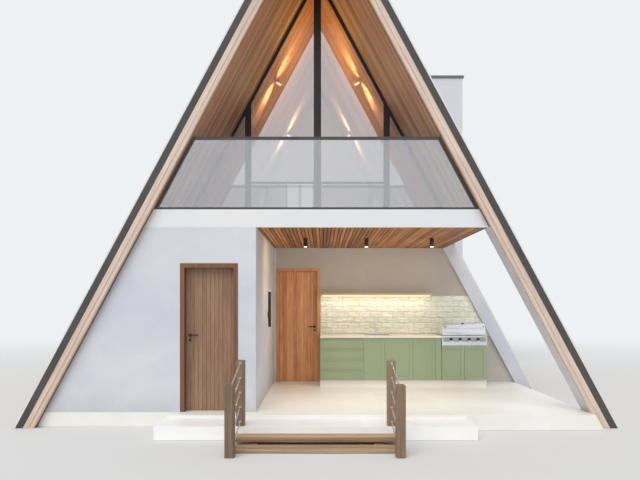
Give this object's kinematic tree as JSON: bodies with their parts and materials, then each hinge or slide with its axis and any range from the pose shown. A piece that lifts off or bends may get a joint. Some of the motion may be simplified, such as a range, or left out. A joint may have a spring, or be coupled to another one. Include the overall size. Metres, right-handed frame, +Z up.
{
  "type": "a-frame cabin",
  "caption": "A-frame cabin with steep board-clad roof, covered porch with outdoor kitchen and grill, glass balcony guard, glazed gable, entrance steps and a flat-topped rear block.",
  "frame": {"origin": "middle line of the A-frame, in the front plane of the roof, on the ground", "axes": "X to the right seen from the front, Y away from the front, Z up"},
  "size_m": [8.6114, 10.893, 8.0385],
  "materials": {
    "floor_stone": "satin",
    "landing_stone": "satin",
    "deck_wood": "matte",
    "rail_metal": "satin",
    "wall_render": "matte",
    "white_render": "matte",
    "tower_render": "matte",
    "ceiling_wood": "satin",
    "roof_core": "matte",
    "cladding_wood": "matte",
    "fascia_wood": "matte",
    "lining_wood": "satin",
    "dark_metal": "satin",
    "black_aluminium": "satin",
    "clear_glass": "polished",
    "window_glass": "polished",
    "door_frame_wood": "satin",
    "front_door_wood": "satin",
    "porch_door_wood": "satin",
    "black_metal": "satin",
    "white_stone": "polished",
    "green_lacquer": "satin",
    "stainless": "brushed",
    "glazed_tile": "glossy",
    "shelf_wood": "satin"
  },
  "bodies": {
    "building": {"floor_slab": "floor_stone", "landing": "landing_stone", "steps": "deck_wood", "stair_posts": "deck_wood", "stair_rails_left": "rail_metal", "stair_rails_right": "rail_metal", "front_wall_left": "wall_render", "front_wall_over_door": "wall_render", "porch_side_wall": "wall_render", "back_wall_right": "wall_render", "back_wall_over_door": "wall_render", "upper_floor_slab": "white_render", "porch_ceiling": "ceiling_wood", "roof_left": "roof_core", "roof_right": "roof_core", "right_leg": "wall_render", "right_rear_wall": "wall_render", "cladding_left": "cladding_wood", "cladding_right": "cladding_wood", "roof_edge_trim": "dark_metal", "fascia_left": "fascia_wood", "fascia_right": "fascia_wood", "lining_left": "lining_wood", "lining_right": "lining_wood", "guard_frame": "dark_metal", "guard_glass": "clear_glass", "gable_frame": "black_aluminium", "gable_glass": "window_glass", "rear_wall": "wall_render", "rear_gable_wall": "wall_render", "rear_window_frames": "black_aluminium", "rear_window_glass": "window_glass", "tower_side_walls": "tower_render", "tower_end_walls": "tower_render", "tower_slabs": "white_render", "tower_coping": "dark_metal", "front_door_frame": "door_frame_wood", "porch_door_frame": "door_frame_wood", "cabinet_plinth": "white_stone", "cabinets": "green_lacquer", "worktop": "white_stone", "sink": "stainless", "tap": "stainless", "splashback": "glazed_tile", "shelf": "shelf_wood", "grill_body": "stainless", "porch_spots": "black_metal", "wall_lamp": "black_metal", "slope_lamps": "black_metal"},
    "front_door_body": {"front_door": "front_door_wood", "front_door_handle": "black_metal"},
    "porch_door_body": {"porch_door": "porch_door_wood", "porch_door_handle": "black_metal"},
    "grill_hood_body": {"grill_hood": "stainless"}
  },
  "joints": [
    {"name": "front_door_hinge", "type": "hinge", "parent": "building", "child": "front_door_body", "pos_m": [-1.1815, 0.253, 1.2], "axis": [0, 0, -1], "range_deg": [0, 90]},
    {"name": "porch_door_hinge", "type": "hinge", "parent": "building", "child": "porch_door_body", "pos_m": [-0.7815, 3.183, 1.2], "axis": [0, 0, 1], "range_deg": [0, 90]},
    {"name": "grill_hood_hinge", "type": "hinge", "parent": "building", "child": "grill_hood_body", "pos_m": [2.75, 2.64, 1.18], "axis": [-1, 0, 0], "range_deg": [0, 75]}
  ]
}
